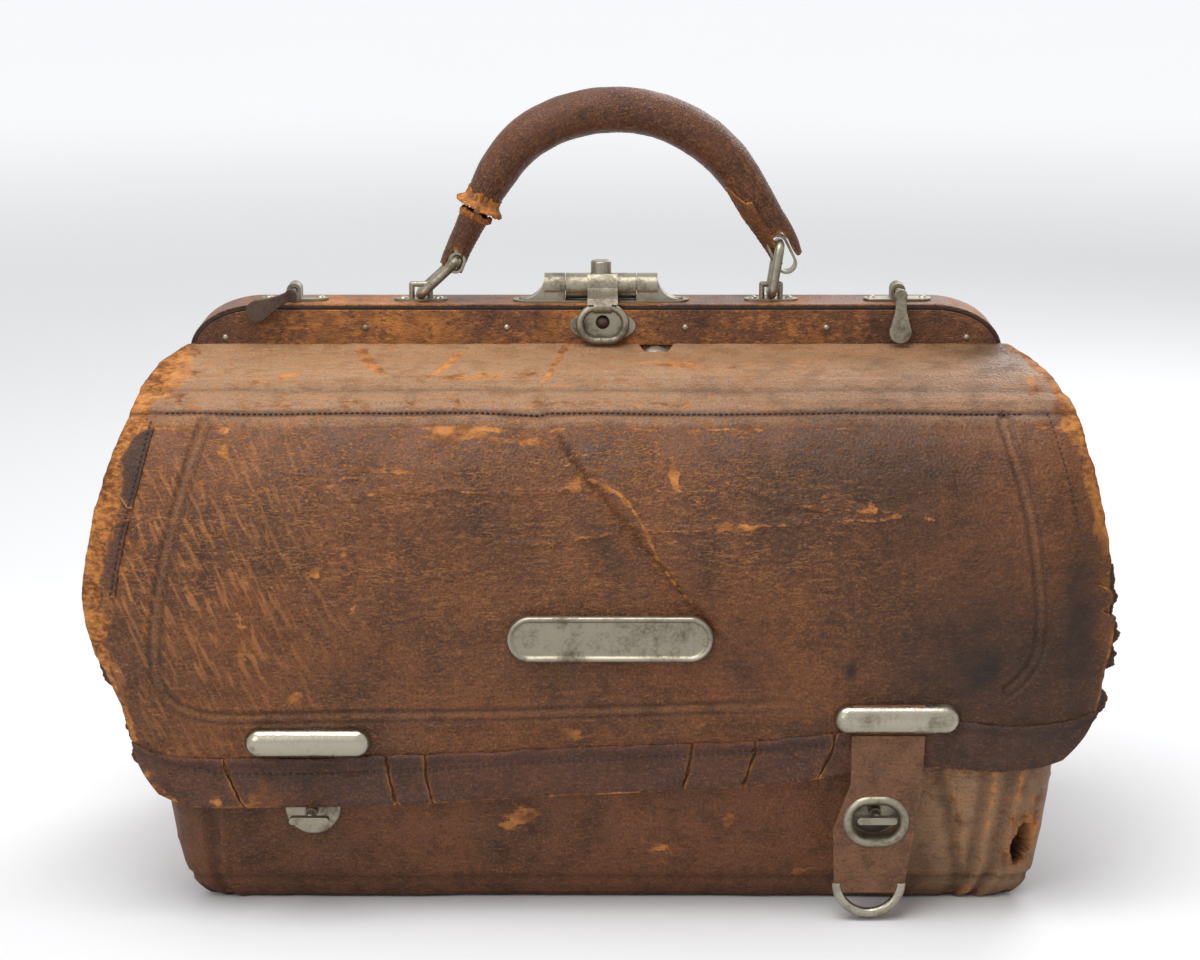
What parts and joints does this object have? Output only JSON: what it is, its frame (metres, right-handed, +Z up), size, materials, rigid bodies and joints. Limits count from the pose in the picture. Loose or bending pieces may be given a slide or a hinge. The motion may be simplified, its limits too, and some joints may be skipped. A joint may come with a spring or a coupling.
{
  "type": "gladstone bag",
  "caption": "Worn leather gladstone bag with a hinged mouth frame, arched handle, large front flap over an outside pocket, closing strap and nickel fittings.",
  "frame": {"origin": "middle of the flat base", "axes": "+X along the bag's length, to the right seen from the front; the front faces -Y; +Z up"},
  "size_m": [0.4935, 0.2355, 0.3876],
  "materials": {
    "body_leather": "worn brown hide",
    "flap_leather": "worn brown hide with grain, stains and scuffs",
    "frame_leather": "dark worn hide over the frame",
    "handle_leather": "polished rolled hide",
    "strap_leather": "worn hide",
    "nickel": "aged nickel plate",
    "frame_steel": "dark lacquered steel",
    "dark_stud": "dark patina",
    "board": "pressed board"
  },
  "bodies": {
    "bag": {"front_panel": "body_leather", "rear_panel": "body_leather", "gusset_left": "body_leather", "gusset_right": "body_leather", "bottom_panel": "body_leather", "base_board": "board", "pocket_panel": "body_leather", "pocket_gusset_left": "body_leather", "pocket_gusset_right": "body_leather", "pocket_floor": "body_leather", "rear_jaw": "frame_steel", "front_jaw": "frame_steel", "rear_jaw_cover": "frame_leather", "front_jaw_cover": "frame_leather", "hinge_rivet_left": "nickel", "hinge_rivet_right": "nickel", "band_rivets": "nickel", "plate_rivets": "nickel", "lock_case": "nickel", "lock_spindle": "nickel", "lock_screws": "nickel", "lock_escutcheon": "nickel", "lock_stud": "dark_stud", "handle_staple_left": "nickel", "handle_staple_right": "nickel", "clasp_bridge_left": "nickel", "clasp_bridge_right": "nickel", "turn_base_left": "nickel", "turn_base_right": "nickel", "root_stud": "nickel"},
    "hasp": {"lock_hasp": "nickel"},
    "button": {"lock_button": "nickel"},
    "ring": {"lock_ring": "nickel"},
    "clasp_left": {"clasp_lever_left": "nickel"},
    "clasp_right": {"clasp_lever_right": "nickel"},
    "link_left": {"handle_link_left": "nickel"},
    "link_right": {"handle_link_right": "nickel"},
    "handle": {"handle_core": "nickel", "handle_grip": "handle_leather", "handle_end_left": "handle_leather", "handle_end_right": "handle_leather"},
    "flap": {"flap_leather": "flap_leather", "flap_hem": "flap_leather", "name_plate": "nickel", "keeper_left": "nickel", "keeper_right": "nickel", "strap_root": "strap_leather"},
    "strap": {"closing_strap": "strap_leather", "strap_eyelet": "nickel", "strap_tip": "nickel"},
    "turn_left": {"turn_button_left": "nickel"},
    "turn_right": {"turn_button_right": "nickel"}
  },
  "joints": [
    {"name": "flap_lift", "type": "hinge", "parent": "bag", "child": "flap", "pos_m": [0, -0.0236, 0.25575], "axis": [-1, 0, 0], "range_deg": [0, 80]},
    {"name": "strap_lift", "type": "hinge", "parent": "flap", "child": "strap", "pos_m": [0.139, -0.12985, 0.0931], "axis": [-1, 0, 0], "range_deg": [0, 80]},
    {"name": "turn_left_spin", "type": "hinge", "parent": "bag", "child": "turn_left", "pos_m": [-0.1365, -0.12, 0.0522], "axis": [0, 1, 0], "range_deg": [0, 90]},
    {"name": "turn_right_spin", "type": "hinge", "parent": "bag", "child": "turn_right", "pos_m": [0.134, -0.12, 0.0522], "axis": [0, 1, 0], "range_deg": [0, 90]},
    {"name": "hasp_lift", "type": "hinge", "parent": "bag", "child": "hasp", "pos_m": [0.0025, -0.002, 0.2886], "axis": [-1, 0, 0], "range_deg": [0, 85]},
    {"name": "button_press", "type": "slide", "parent": "hasp", "child": "button", "axis": [0, 0, -1], "range_m": [0, 0.0025], "stiffness_N_per_m": 400, "springref_m": -0.0005},
    {"name": "ring_swing", "type": "hinge", "parent": "hasp", "child": "ring", "pos_m": [0.0033, -0.0199, 0.2803], "axis": [-1, 0, 0], "range_deg": [0, 80]},
    {"name": "clasp_left_turn", "type": "hinge", "parent": "bag", "child": "clasp_left", "pos_m": [-0.1515, 0, 0.2865], "axis": [0, 1, 0], "range_deg": [-65, 35]},
    {"name": "clasp_right_turn", "type": "hinge", "parent": "bag", "child": "clasp_right", "pos_m": [0.1515, 0, 0.2865], "axis": [0, 1, 0], "range_deg": [-100, 0]},
    {"name": "handle_swing", "type": "hinge", "parent": "bag", "child": "link_left", "pos_m": [-0.088, 0, 0.2847], "axis": [0, 1, 0], "range_deg": [-56.1, 0]},
    {"name": "handle_tilt", "type": "hinge", "parent": "link_left", "child": "handle", "pos_m": [-0.0696, 0, 0.30162], "axis": [0, 1, 0], "range_deg": [0, 61.7]},
    {"name": "link_right_swing", "type": "hinge", "parent": "bag", "child": "link_right", "pos_m": [0.088, 0, 0.2847], "axis": [0, 1, 0], "range_deg": [-56.1, 0]}
  ],
  "couplings": [
    {"joint": "handle_tilt", "follows": "handle_swing", "ratio": -1.0985},
    {"joint": "link_right_swing", "follows": "handle_swing", "ratio": 1}
  ]
}
